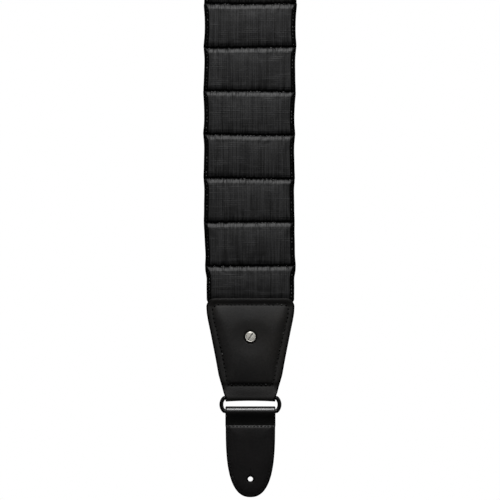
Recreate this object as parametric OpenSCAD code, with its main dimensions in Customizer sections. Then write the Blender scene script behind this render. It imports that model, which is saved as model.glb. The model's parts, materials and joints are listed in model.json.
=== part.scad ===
// Padded guitar strap, hung by the button hole of its top tab, front towards -Y.
// A quilted pad of sewn channels bends at its seams. A leather yoke at each end of the pad folds
// round a wire ring. The lower ring carries a leather tab, the upper one a webbing length adjuster.
// Origin: centre of the top tab's button hole. +Z up along the strap, +Y towards its back.

/* [Pad] */
// Width of the quilted pad
pad_w = 88; // [70:1:110]
// Number of sewn channels
channel_count = 16; // [4:1:16]
// Length of one channel, seam to seam
channel_pitch = 41.5; // [36:0.5:50]
// Thickness of the pad at a channel's crown
pad_t = 11; // [8:0.5:12]
// Thickness of the cover fabric
fabric_t = 0.8; // [0.5:0.1:1]

/* [Yokes] */
// Length of a yoke from the ring's bar to its top edge
yoke_len = 94.5; // [80:0.5:120]
// Half the yoke's width at its wide end
yoke_half_w = 41.9; // [34:0.1:42]
// Thickness of the yoke leather
yoke_leather_t = 1.8; // [1.4:0.1:2]
// Diameter of the screw rivet's heads
rivet_head_d = 10.8; // [8:0.1:12]
// Distance of the screw rivet from the ring's bar
rivet_from_bar = 58; // [40:1:62]

/* [Rings] */
// Diameter of the ring's wire
wire_d = 3.8; // [3:0.1:4]
// Distance between the centre lines of the ring's two bars
ring_gap = 12.8; // [11.5:0.1:15]
// Length of the ring's straight bars
ring_bar_len = 47.8; // [47.8:0.1:52]

/* [Tabs] */
// Width of a tab
tab_w = 47.2; // [40:0.1:48]
// Distance from the button hole to the tab's tip
hole_to_tip = 17.2; // [14:0.1:22]
// Distance from the ring's bar to the lower button hole
bar_to_hole = 64.4; // [55:0.1:80]
// Diameter of the button holes
hole_d = 4.8; // [4.5:0.1:7]

/* [Webbing] */
// Length of webbing showing from the top tab to the upper ring, at the shortest setting
adjuster_len = 213.6; // [205:0.1:260]
// Width of the webbing
web_w = 46; // [38:0.1:46]
// Thickness of the webbing
web_t = 1.6; // [1.2:0.1:1.8]
// Distance of the slider's pin below the top tab, at the shortest setting
slider_drop = 24; // [20:1:30]

/* [Hidden] */
$fn = 96;
clear = 0.05;                 // running clearance round a bar
wire_r = wire_d / 2;
loop_r = wire_r + clear;      // inner radius of what folds round a bar
fold_w = 47.6;                // width of the leather folds

// Seams and channels
seam_t = 1.6;
seam_gap = 0.5;
channel_len = channel_pitch - seam_gap;
bulge = (pad_t - seam_t) / 2;
arc_r = (pow(channel_len / 2, 2) + bulge * bulge) / (2 * bulge);
foam_len = channel_len - 4;
foam_clear = 0.02;

// Yoke sandwich: leather, core, leather
core_t = 3;
mouth_depth = 10.5;           // length of pad held inside the yoke's mouth
stitch_leg = 13.5;            // length of the folded-back leather behind the bar
fold_leather_t = 1.4;         // leather is thinned where it folds
shoulder = 16;                // heights at which the yoke's taper changes
shoulder_half_w = 28.7;
hip = 73;
hip_inset = 1.6;              // how much narrower the yoke is there than at its widest
neck_half_w = 24.1;
corner_r = 8;
core_inset = 3;

// Foam that pads the front leather out
padding_t = 1.5;
padding_bottom = 14;          // heights between which it lies
padding_top = 80.5;
padding_slope = 9;            // length of its sloped ends
padding_inset = 8;

// Screw rivet
barrel_r = 2.5;
shank_r = 1.55;
front_head_t = 1.6;
back_head_t = 1.2;
slot_w = 1.3;
slot_depth = 0.8;
slot_angle = 57;
rivet_front = core_t / 2 + padding_t + yoke_leather_t;   // where the front head sits

// Ring ends
ring_corner_r = 2.2;
ring_corner_turn = 50;
ring_end_r = (ring_gap / 2 - ring_corner_r * (1 - cos(ring_corner_turn))) / cos(ring_corner_turn);

// Tab
tab_leather_t = 1.4;
tab_strip_t = 1.5;            // the strip that folds round the ring, doubled inside the tab
tab_fold_t = 2.3;             // its thickness round the bar
tab_round_len = 78.5;         // length over which a tab narrows to its tip
tab_taper = 3.5;              // how late the narrowing sets in
tab_cover_start = 13.4;       // where the outer leathers begin, below the bar
top_leather_t = 2;
slit_w = 0.5;
slit_len = 8;

// Places down the strap
top_edge_z = -51;                                  // lower edge of the top tab
web_end_z = -28;                                   // upper end of the webbing, inside the top tab
upper_ring_z = top_edge_z - adjuster_len;
chain_y = web_t / 2 + loop_r;                      // centre plane of the rings and the pad
upper_yoke_z = upper_ring_z - ring_gap;
pad_top_z = upper_yoke_z - yoke_len + mouth_depth;
pad_bottom_z = pad_top_z - channel_count * channel_pitch;
lower_ring_z = pad_bottom_z + mouth_depth - yoke_len;
lower_tab_z = lower_ring_z - ring_gap;
slider_z = top_edge_z - slider_drop;

// Slider
pin_r = 1;
pin_y = web_t / 2 + web_t + pin_r + clear;
rail_w = 4;
rail_x = web_w / 2 + 1;
slider_h = 30;
bar_h = 4;
bar_t = 2.2;
slider_front_y = -web_t / 2 - 0.1 - bar_t;
slider_back_y = pin_y + pin_r + 0.3;
end_flap = 16;

function two_digits(i) = str(i < 10 ? "0" : "", i);
CHANNELS = [for (i = [1:channel_count]) i];

// ---------------------------------------------------------------- helpers

// Cylinder along X, centred
module rod_x(r, len) {
    rotate([0, 90, 0]) cylinder(r = r, h = len, center = true);
}

// Cylinder along Y from y0 to y1
module rod_y(r, y0, y1) {
    translate([0, y1, 0]) rotate([90, 0, 0]) cylinder(r = r, h = y1 - y0);
}

// An outline drawn in X and Z, given thickness from y0 to y1
module plate(y0, y1) {
    translate([0, y1, 0]) rotate([90, 0, 0]) linear_extrude(height = y1 - y0) children();
}

// A side profile drawn in Y and Z, given width w along X
module profile_x(w) {
    translate([-w / 2, 0, 0]) rotate([90, 0, 90]) linear_extrude(height = w) children();
}

// ---------------------------------------------------------------- pad

// Closed pillow between two seams, its arcs shrunk by inset
module pillow(w, len, inset) {
    offset_y = arc_r - pad_t / 2;
    intersection() {
        translate([0, offset_y, 0]) rod_x(arc_r - inset, w);
        translate([0, -offset_y, 0]) rod_x(arc_r - inset, w);
        cube([w, pad_t, len], center = true);
    }
}

module at_channel(i) {
    translate([0, chain_y, pad_top_z - (i - 0.5) * channel_pitch]) children();
}

module channel_cover(i) {
    color([0.13, 0.13, 0.13]) at_channel(i) difference() {
        pillow(pad_w, channel_len, 0);
        pillow(pad_w - 2 * fabric_t, foam_len, fabric_t);
    }
}

module channel_foam(i) {
    color([0.35, 0.35, 0.36]) at_channel(i)
        pillow(pad_w - 2 * fabric_t - foam_clear, foam_len - foam_clear, fabric_t + foam_clear);
}

// ---------------------------------------------------------------- yoke (bar at Z 0, pad above)

// Outline from height z0 up to the top edge, inset all round
module yoke_outline(z0, inset = 0) {
    top = yoke_len - inset;
    half = yoke_half_w - inset;
    low = (z0 < shoulder) ? neck_half_w + (shoulder_half_w - neck_half_w) * z0 / shoulder : shoulder_half_w;
    union() {
        polygon([
            [-low + inset, z0], [low - inset, z0],
            [shoulder_half_w - inset, shoulder], [half - hip_inset, hip], [half, top - corner_r],
            [half - corner_r, top], [-half + corner_r, top],
            [-half, top - corner_r], [-half + hip_inset, hip], [-shoulder_half_w + inset, shoulder]]);
        for (side = [-1, 1]) translate([side * (half - corner_r), top - corner_r]) circle(r = corner_r);
    }
}

// Side profile of the foam, as points from its lower end to its upper one
function padding_line() =
    [[core_t / 2, padding_bottom], [core_t / 2 + padding_t, padding_bottom + padding_slope],
     [core_t / 2 + padding_t, padding_top - padding_slope], [core_t / 2, padding_top]];

// Side profile of one leather, flared at the mouth to lie on the pad
module yoke_leather_profile(z0, padding) {
    inner = core_t / 2;
    mouth = [[inner, yoke_len - mouth_depth - 2], [inner + 0.1, yoke_len - mouth_depth],
             [inner + 1.9, yoke_len - 5], [inner + 3.4, yoke_len]];
    line = concat([[inner, z0]], padding, mouth);
    polygon(concat(line, [for (k = [len(line) - 1:-1:0]) line[k] + [yoke_leather_t, 0]]));
}

module yoke_leather(z0, side) {
    intersection() {
        plate(-pad_t, pad_t) yoke_outline(z0);
        mirror([0, side < 0 ? 1 : 0, 0]) profile_x(2 * pad_w)
            yoke_leather_profile(z0, side < 0 ? padding_line() : []);
    }
}

module rivet_hole(r = barrel_r + clear) {
    translate([0, 0, rivet_from_bar]) rod_y(r, -pad_t, pad_t);
}

// Front leather: runs down over the bar, folds round it and comes up behind
module yoke_front() {
    outer = core_t / 2 + yoke_leather_t;
    plate_start = loop_r + fold_leather_t + 0.2;
    difference() {
        union() {
            yoke_leather(plate_start, -1);
            rod_x(loop_r + fold_leather_t, fold_w);
            translate([-fold_w / 2, -outer, 0]) cube([fold_w, yoke_leather_t, plate_start + 1]);
            translate([-fold_w / 2, core_t / 2, 0]) cube([fold_w, yoke_leather_t, stitch_leg]);
        }
        rod_x(loop_r, 2 * fold_w);
        rivet_hole();
    }
}

module yoke_back() {
    difference() {
        yoke_leather(stitch_leg + 0.3, 1);
        rivet_hole();
    }
}

module yoke_core() {
    start = loop_r + fold_leather_t + 0.3;
    difference() {
        plate(-core_t / 2, core_t / 2) intersection() {
            yoke_outline(start, core_inset);
            translate([-pad_w, 0]) square([2 * pad_w, yoke_len - mouth_depth - 0.2]);
        }
        rivet_hole();
    }
}

module yoke_padding() {
    difference() {
        intersection() {
            plate(-pad_t, 0) yoke_outline(padding_bottom, padding_inset);
            mirror([0, 1, 0]) profile_x(2 * pad_w) polygon(padding_line());
        }
        rivet_hole();
    }
}

// Slotted screw of the rivet, seen on the front
module rivet_screw() {
    face = -rivet_front;
    translate([0, 0, rivet_from_bar]) difference() {
        union() {
            rod_y(rivet_head_d / 2, face - front_head_t * 0.6, face);
            rod_y(rivet_head_d / 2 - 0.6, face - front_head_t, face - front_head_t * 0.6);
            rod_y(shank_r, face, face + 5.4);
        }
        translate([0, face - front_head_t, 0]) rotate([0, -slot_angle, 0])
            cube([2 * rivet_head_d, 2 * slot_depth, slot_w], center = true);
    }
}

// Barrel nut of the rivet, with its head on the back
module rivet_post() {
    face = core_t / 2 + yoke_leather_t;
    translate([0, 0, rivet_from_bar]) difference() {
        union() {
            rod_y(barrel_r, -rivet_front + 0.1, face);
            rod_y(rivet_head_d / 2, face, face + back_head_t);
        }
        rod_y(shank_r + clear, -rivet_front - 1, -rivet_front + 6);
    }
}

// ---------------------------------------------------------------- ring (upper bar at Z 0)

// Moves in a coarse step and a fine one, so the ends of neighbouring arcs meet exactly
function coarse(v) = [for (q = v) round(q * 100) / 100];
module shift(v) { translate(coarse(v)) translate(v - coarse(v)) children(); }

// Wire bent to an arc about a point in the XZ plane
module wire_arc(centre, r, from, to) {
    shift([centre[0], 0, centre[1]]) rotate([90, 0, 0])
        rotate_extrude(angle = to - from, start = from) shift([r, 0]) circle(r = wire_r, $fn = 48);
}

module half_ring() {
    x0 = ring_bar_len / 2;
    turn = 90 - ring_corner_turn;
    rotate([0, 90, 0]) cylinder(r = wire_r, h = x0);
    wire_arc([x0, -ring_corner_r], ring_corner_r, turn, 90);
    wire_arc([x0 + (ring_corner_r - ring_end_r) * cos(turn), -ring_gap / 2], ring_end_r, -turn, turn);
    wire_arc([x0, -ring_gap + ring_corner_r], ring_corner_r, -90, -turn);
    translate([0, 0, -ring_gap]) rotate([0, 90, 0]) cylinder(r = wire_r, h = x0);
}

module ring() {
    half_ring();
    mirror([1, 0, 0]) half_ring();
}

// ---------------------------------------------------------------- tabs

// Tab outline: hole at the origin, blunt tip down, cut off at height top
module tab_outline(top, inset = 0) {
    half = tab_w / 2 - inset;
    round_z = tab_round_len - hole_to_tip;
    reach = tab_round_len - inset;
    intersection() {
        polygon(concat(
            [[half, top + round_z], [-half, top + round_z]],
            [for (a = [180:-5:0]) [half * cos(a), round_z - reach * pow(sin(a), 2 / tab_taper)]]));
        translate([-tab_w, -tab_w]) square([2 * tab_w, tab_w + top]);
    }
}

// Button hole with the slit that lets the button's head through, on the strap side
module button_hole() {
    rod_y(hole_d / 2, -pad_t, pad_t);
    translate([-slit_w / 2, -pad_t, 0]) cube([slit_w, 2 * pad_t, slit_len]);
}

// Strip folded round the ring's bar and doubled inside the tab (bar at Z 0)
module tab_strip_local() {
    difference() {
        union() {
            rod_x(loop_r + tab_fold_t, fold_w);
            translate([-fold_w / 2, -tab_strip_t, -tab_cover_start - 2])
                cube([fold_w, 2 * tab_strip_t, tab_cover_start + 2]);
            plate(-tab_strip_t, tab_strip_t) translate([0, -bar_to_hole]) tab_outline(bar_to_hole, 2.5);
        }
        rod_x(loop_r, 2 * fold_w);
        translate([0, 0, -bar_to_hole]) button_hole();
    }
}

module tab_leather_local(side) {
    y0 = side < 0 ? -tab_strip_t - tab_leather_t : tab_strip_t;
    translate([0, 0, -bar_to_hole]) difference() {
        plate(y0, y0 + tab_leather_t) tab_outline(bar_to_hole - tab_cover_start);
        button_hole();
    }
}

// ---------------------------------------------------------------- placed pieces

module upper_yoke_place() { translate([0, chain_y, upper_yoke_z]) mirror([0, 0, 1]) children(); }
module lower_yoke_place() { translate([0, chain_y, lower_ring_z]) children(); }
module lower_tab_place() { translate([0, chain_y, lower_tab_z]) children(); }

// Plate of the top tab, tip up, cut off below height low
module top_tab_plate(y0, y1, low) {
    mirror([0, 0, 1]) difference() {
        plate(y0, y1) intersection() {
            tab_outline(-top_edge_z);
            translate([-tab_w, -tab_w]) square([2 * tab_w, tab_w - low]);
        }
        button_hole();
    }
}

module top_tab_leather(y0) { color([0.12, 0.12, 0.12]) top_tab_plate(y0, y0 + top_leather_t, top_edge_z); }
module top_tab_front() { top_tab_leather(-web_t / 2 - clear - top_leather_t); }
module top_tab_back() { top_tab_leather(web_t / 2 + clear); }
module top_tab_filler() { color([0.2, 0.18, 0.16]) top_tab_plate(-web_t / 2, web_t / 2, web_end_z + 0.1); }

module webbing_main() {
    color([0.09, 0.09, 0.09]) translate([-web_w / 2, -web_t / 2, upper_ring_z])
        cube([web_w, web_t, web_end_z - upper_ring_z]);
}

// Half turn of webbing under the upper ring's bar
module webbing_loop() {
    color([0.09, 0.09, 0.09]) translate([0, chain_y, upper_ring_z]) difference() {
        rod_x(loop_r + web_t, web_w);
        rod_x(loop_r, 2 * web_w);
        translate([-web_w, -pad_t, 0]) cube([2 * web_w, 2 * pad_t, pad_t]);
    }
}

module webbing_return() {
    color([0.09, 0.09, 0.09]) translate([-web_w / 2, chain_y + loop_r, upper_ring_z])
        cube([web_w, web_t, slider_z - 0.1 - upper_ring_z]);
}

// The webbing's end: over the slider's pin and down in front of it
module webbing_end_loop() {
    inner = pin_r + clear;
    color([0.09, 0.09, 0.09]) translate([0, pin_y, slider_z]) {
        difference() {
            rod_x(inner + web_t, web_w);
            rod_x(inner, 2 * web_w);
            translate([-web_w, -pad_t, -pad_t]) cube([2 * web_w, 2 * pad_t, pad_t]);
        }
        translate([-web_w / 2, -inner - web_t + 0.02, -end_flap]) cube([web_w, web_t - 0.02, end_flap]);
    }
}

module slider_frame() {
    depth = slider_back_y - slider_front_y;
    color([0.1, 0.1, 0.1]) translate([0, 0, slider_z]) difference() {
        union() {
            for (side = [-1, 1])
                translate([side * (rail_x + rail_w / 2), slider_front_y + depth / 2, 0])
                    cube([rail_w, depth, slider_h], center = true);
            for (side = [-1, 1])
                translate([0, slider_front_y + bar_t / 2, side * (slider_h - bar_h) / 2])
                    cube([2 * rail_x + rail_w, bar_t, bar_h], center = true);
        }
        translate([0, pin_y, 0]) rod_x(pin_r, 2 * rail_x + rail_w);
    }
}

module slider_pin() {
    color("silver") translate([0, pin_y, slider_z]) rod_x(pin_r, 2 * rail_x + rail_w);
}

module upper_ring() { color([0.08, 0.08, 0.08]) translate([0, chain_y, upper_ring_z]) ring(); }
module lower_ring() { color([0.08, 0.08, 0.08]) translate([0, chain_y, lower_ring_z]) ring(); }

module upper_yoke_front() { color([0.14, 0.14, 0.14]) upper_yoke_place() yoke_front(); }
module upper_yoke_back() { color([0.14, 0.14, 0.14]) upper_yoke_place() yoke_back(); }
module upper_yoke_core() { color([0.3, 0.27, 0.22]) upper_yoke_place() yoke_core(); }
module upper_yoke_padding() { color([0.35, 0.35, 0.36]) upper_yoke_place() yoke_padding(); }
module upper_rivet_post() { color("silver") upper_yoke_place() rivet_post(); }
module upper_rivet_screw() { color("silver") upper_yoke_place() rivet_screw(); }

module lower_yoke_front() { color([0.14, 0.14, 0.14]) lower_yoke_place() yoke_front(); }
module lower_yoke_back() { color([0.14, 0.14, 0.14]) lower_yoke_place() yoke_back(); }
module lower_yoke_core() { color([0.3, 0.27, 0.22]) lower_yoke_place() yoke_core(); }
module lower_yoke_padding() { color([0.35, 0.35, 0.36]) lower_yoke_place() yoke_padding(); }
module lower_rivet_post() { color("silver") lower_yoke_place() rivet_post(); }
module lower_rivet_screw() { color("silver") lower_yoke_place() rivet_screw(); }

module tab_strip() { color([0.05, 0.05, 0.05]) lower_tab_place() tab_strip_local(); }
module tab_front() { color([0.12, 0.12, 0.12]) lower_tab_place() tab_leather_local(-1); }
module tab_back() { color([0.12, 0.12, 0.12]) lower_tab_place() tab_leather_local(1); }

// ---------------------------------------------------------------- nodes

top_tab_front();
top_tab_back();
top_tab_filler();
webbing_main();
webbing_return();
webbing_loop();
webbing_end_loop();
slider_frame();
slider_pin();
upper_ring();
upper_yoke_front();
upper_yoke_back();
upper_yoke_core();
upper_yoke_padding();
upper_rivet_post();
upper_rivet_screw();
for (i = CHANNELS) {
    channel_cover(i);
    channel_foam(i);
}
lower_yoke_front();
lower_yoke_back();
lower_yoke_core();
lower_yoke_padding();
lower_rivet_post();
lower_rivet_screw();
lower_ring();
tab_strip();
tab_front();
tab_back();
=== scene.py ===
import json
import math

import bmesh
import bpy
import numpy as np
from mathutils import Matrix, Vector
from mathutils.geometry import delaunay_2d_cdt

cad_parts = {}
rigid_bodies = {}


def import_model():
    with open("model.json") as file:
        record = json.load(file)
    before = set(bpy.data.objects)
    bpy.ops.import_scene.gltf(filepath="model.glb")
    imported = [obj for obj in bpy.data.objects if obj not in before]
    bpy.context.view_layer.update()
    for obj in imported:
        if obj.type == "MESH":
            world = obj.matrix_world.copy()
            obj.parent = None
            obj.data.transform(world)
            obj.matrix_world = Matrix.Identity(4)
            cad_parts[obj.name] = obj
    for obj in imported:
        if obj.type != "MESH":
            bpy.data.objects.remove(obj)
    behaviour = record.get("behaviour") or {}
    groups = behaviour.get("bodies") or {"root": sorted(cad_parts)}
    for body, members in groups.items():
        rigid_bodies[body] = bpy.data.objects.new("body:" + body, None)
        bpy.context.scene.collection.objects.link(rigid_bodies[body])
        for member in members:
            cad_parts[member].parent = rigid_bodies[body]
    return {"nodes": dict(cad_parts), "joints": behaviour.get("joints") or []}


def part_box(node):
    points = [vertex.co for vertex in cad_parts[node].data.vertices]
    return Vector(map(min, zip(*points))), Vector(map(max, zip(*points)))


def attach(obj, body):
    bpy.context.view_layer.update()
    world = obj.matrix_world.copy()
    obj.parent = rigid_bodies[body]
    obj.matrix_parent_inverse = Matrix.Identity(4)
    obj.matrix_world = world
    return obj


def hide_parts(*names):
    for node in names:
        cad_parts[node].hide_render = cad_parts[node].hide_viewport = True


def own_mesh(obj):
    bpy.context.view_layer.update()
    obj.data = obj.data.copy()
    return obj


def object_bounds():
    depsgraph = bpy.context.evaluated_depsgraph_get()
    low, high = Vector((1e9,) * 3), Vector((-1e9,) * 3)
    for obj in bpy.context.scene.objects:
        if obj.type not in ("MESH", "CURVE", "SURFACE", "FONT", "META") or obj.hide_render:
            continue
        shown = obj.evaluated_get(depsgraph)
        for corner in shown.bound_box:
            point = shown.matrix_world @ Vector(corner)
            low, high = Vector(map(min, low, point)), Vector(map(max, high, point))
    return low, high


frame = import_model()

CAD_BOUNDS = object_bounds()
MM = 0.001
SCENE = bpy.context.scene


# ---------------------------------------------------------------- camera, lights, floor

def make_camera():
    """A long lens level with the lower end of the strap."""
    centre_z = -0.9689
    framed = 0.475
    distance = 3.0
    data = bpy.data.cameras.new("camera")
    data.sensor_width = 36
    data.lens = data.sensor_width * distance / framed
    camera = bpy.data.objects.new("camera", data)
    camera.location = (-0.0004, -distance, centre_z)
    camera.rotation_euler = (math.radians(90), 0, 0)
    SCENE.collection.objects.link(camera)
    SCENE.camera = camera


POLISHED = bpy.data.collections.new("polished_metal")
REAR_LIT = bpy.data.collections.new("lit_from_behind")


def make_area_light(name, place, target, size, power, only=None):
    data = bpy.data.lights.new(name, "AREA")
    data.shape = "RECTANGLE"
    data.size, data.size_y = size
    data.energy = power
    light = bpy.data.objects.new(name, data)
    light.location = place
    light.rotation_euler = (Vector(target) - Vector(place)).to_track_quat("-Z", "Y").to_euler()
    light.visible_camera = False
    if only:
        light.light_linking.receiver_collection = only
    SCENE.collection.objects.link(light)


make_camera()


# ---------------------------------------------------------------- measures from the frame, in mm

def box_mm(node):
    low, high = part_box(node)
    return low / MM, high / MM


JOINTS = {joint["name"]: joint for joint in frame["joints"]}


def joint_mm(name):
    return Vector(JOINTS[name]["pos_m"]) / MM


CHANNELS = sorted(name for name in frame["nodes"] if name.startswith("channel_cover_"))
COVER_LOW, COVER_HIGH = box_mm(CHANNELS[0])
PITCH = COVER_HIGH.z - box_mm(CHANNELS[1])[1].z
CHAIN_Y = (COVER_LOW.y + COVER_HIGH.y) / 2
PAD_TOP = (COVER_LOW.z + COVER_HIGH.z + PITCH) / 2
PAD_HALF_T = (COVER_HIGH.y - COVER_LOW.y) / 2
PAD_HALF_W = COVER_HIGH.x

RING_LOW, RING_HIGH = box_mm("lower_ring")
WIRE_R = (RING_HIGH.y - RING_LOW.y) / 2
LOWER_BAR_Z = joint_mm("lower_ring_swing").z
TAB_BAR_Z = joint_mm("tab_swing").z
UPPER_BAR_Z = joint_mm("upper_ring_swing").z
UPPER_YOKE_Z = joint_mm("upper_yoke_swing").z
RING_GAP = LOWER_BAR_Z - TAB_BAR_Z
CLEAR = 0.05            # running clearance round a bar


# ---------------------------------------------------------------- numeric helpers

def smoothstep(x, low=0.0, high=1.0):
    t = np.clip((x - low) / (high - low), 0, 1)
    return t * t * (3 - 2 * t)


def crown(x, reach, sharp=2.4, power=0.6):
    """0 at x 0, rising steeply and levelling out to 1 at reach."""
    return (1 - (1 - np.clip(x / reach, 0, 1)) ** sharp) ** power


def ripples(points, wavelengths, count, seed):
    """A smooth random field over points (..., 2), about -1 to 1: a sum of plane waves."""
    rng = np.random.default_rng(seed)
    total = np.zeros(points.shape[:-1])
    for _ in range(count):
        angle = rng.uniform(0, 2 * np.pi)
        length = rng.uniform(*wavelengths)
        along = points[..., 0] * math.cos(angle) + points[..., 1] * math.sin(angle)
        total += np.sin(along * 2 * np.pi / length + rng.uniform(0, 2 * np.pi))
    return total / math.sqrt(2 * count)


def segment_distance(points, loop, closed=True):
    """Distance from points (N, 2) to a polyline (M, 2)."""
    start = loop
    end = np.roll(loop, -1, axis=0)
    if not closed:
        start, end = loop[:-1], loop[1:]
    best = np.full(len(points), 1e9)
    for a, b in zip(start, end):
        ab = b - a
        t = np.clip(((points - a) @ ab) / max(ab @ ab, 1e-12), 0, 1)
        best = np.minimum(best, np.linalg.norm(points - a - t[:, None] * ab, axis=1))
    return best


def inside(points, loop):
    """Whether points (N, 2) lie inside a closed loop (M, 2)."""
    x, y = points[:, 0], points[:, 1]
    result = np.zeros(len(points), bool)
    for (x0, y0), (x1, y1) in zip(loop, np.roll(loop, -1, axis=0)):
        crosses = (y0 > y) != (y1 > y)
        with np.errstate(divide="ignore", invalid="ignore"):
            at = x0 + (y - y0) * (x1 - x0) / (y1 - y0)
        result ^= crosses & (x < at)
    return result


def resample(loop, spacing, closed=True):
    """The polyline with points spacing apart, its sharp corners kept."""
    loop = np.asarray(loop, float)
    ends = np.roll(loop, -1, axis=0) if closed else loop[1:]
    points = []
    for a, b in zip(loop, ends):
        steps = max(1, int(round(np.linalg.norm(b - a) / spacing)))
        points += [a + (b - a) * k / steps for k in range(steps)]
    if not closed:
        points.append(loop[-1])
    return np.array(points)


def offset_loop(loop, distance):
    """A closed loop (M, 2) moved inwards by distance."""
    before = loop - np.roll(loop, 1, axis=0)
    after = np.roll(loop, -1, axis=0) - loop
    along = before / np.linalg.norm(before, axis=1)[:, None] + after / np.linalg.norm(after, axis=1)[:, None]
    along /= np.linalg.norm(along, axis=1)[:, None]
    left = np.stack([-along[:, 1], along[:, 0]], axis=1)
    area = np.sum(loop[:, 0] * np.roll(loop[:, 1], -1) - np.roll(loop[:, 0], -1) * loop[:, 1])
    return loop + left * distance * (1 if area > 0 else -1)


def arc_points(centre, radius, start, end, count):
    angles = np.radians(np.linspace(start, end, count))
    return [(centre[0] + radius * math.cos(a), centre[1] + radius * math.sin(a)) for a in angles]


# ---------------------------------------------------------------- mesh helpers

def make_object(name, points, faces, material):
    """A mesh object from points in millimetres, its normals turned outwards."""
    mesh = bpy.data.meshes.new(name)
    mesh.from_pydata((np.asarray(points, float) * MM).tolist(), [], faces)
    editable = bmesh.new()
    editable.from_mesh(mesh)
    bmesh.ops.recalc_face_normals(editable, faces=editable.faces)
    editable.to_mesh(mesh)
    editable.free()
    mesh.polygons.foreach_set("use_smooth", [True] * len(mesh.polygons))
    mesh.materials.append(material)
    piece = bpy.data.objects.new(name, mesh)
    SCENE.collection.objects.link(piece)
    return piece


def place_piece(piece, body, slot, *replaced):
    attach(piece, body)
    if replaced:
        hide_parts(*replaced)
    return piece


def grid_faces(rows, columns, start=0, wrap=False):
    """Quads over a grid of points numbered row by row from start."""
    faces = []
    for r in range(rows - 1):
        for c in range(columns if wrap else columns - 1):
            d = (c + 1) % columns
            faces.append((start + r * columns + c, start + r * columns + d,
                          start + (r + 1) * columns + d, start + (r + 1) * columns + c))
    return faces


def fan_faces(last, sides):
    """Triangles from point 0 to the first ring and from point last to the final ring."""
    faces = [(0, 1 + k, 1 + (k + 1) % sides) for k in range(sides)]
    return faces + [(last, last - sides + k, last - sides + (k + 1) % sides) for k in range(sides)]


def end_faces(first, rings, sides):
    """The two flat ends of a tube of rings numbered from first."""
    last = first + (rings - 1) * sides
    return [tuple(range(first, first + sides)), tuple(range(last, last + sides))]


def mirrored(right):
    """A right half outline of (u, v) points followed by its mirror image."""
    return right + [(-u, v) for u, v in reversed(right)]


def tube_mesh(path, radius, sides):
    """Points and faces of a closed tube along a loop (N, 3) that lies in the XZ plane."""
    path = np.asarray(path, float)
    along = np.roll(path, -1, axis=0) - np.roll(path, 1, axis=0)
    along /= np.linalg.norm(along, axis=1)[:, None]
    side = np.array([0.0, 1.0, 0.0])
    other = np.cross(along, side)
    turn = np.linspace(0, 2 * np.pi, sides, endpoint=False)
    ring = np.cos(turn)[None, :, None] * side + np.sin(turn)[None, :, None] * other[:, None, :]
    points = (path[:, None, :] + radius * ring).reshape(-1, 3)
    faces = grid_faces(len(path), sides, wrap=True)
    last = (len(path) - 1) * sides
    faces += [(last + k, last + (k + 1) % sides, (k + 1) % sides, k) for k in range(sides)]
    return points, faces


def lathe(name, profile, centre, sides, material):
    """A closed solid of revolution about Y. profile is (radius, y) from the axis round to the axis."""
    turn = np.linspace(0, 2 * np.pi, sides, endpoint=False)
    points = [(centre[0], centre[1] + profile[0][1], centre[2])]
    for radius, y in profile[1:-1]:
        points += [(centre[0] + radius * math.cos(a), centre[1] + y, centre[2] + radius * math.sin(a))
                   for a in turn]
    points.append((centre[0], centre[1] + profile[-1][1], centre[2]))
    last = len(points) - 1
    faces = grid_faces(len(profile) - 2, sides, start=1, wrap=True)
    faces += fan_faces(last, sides)
    return make_object(name, points, faces, material)


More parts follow.
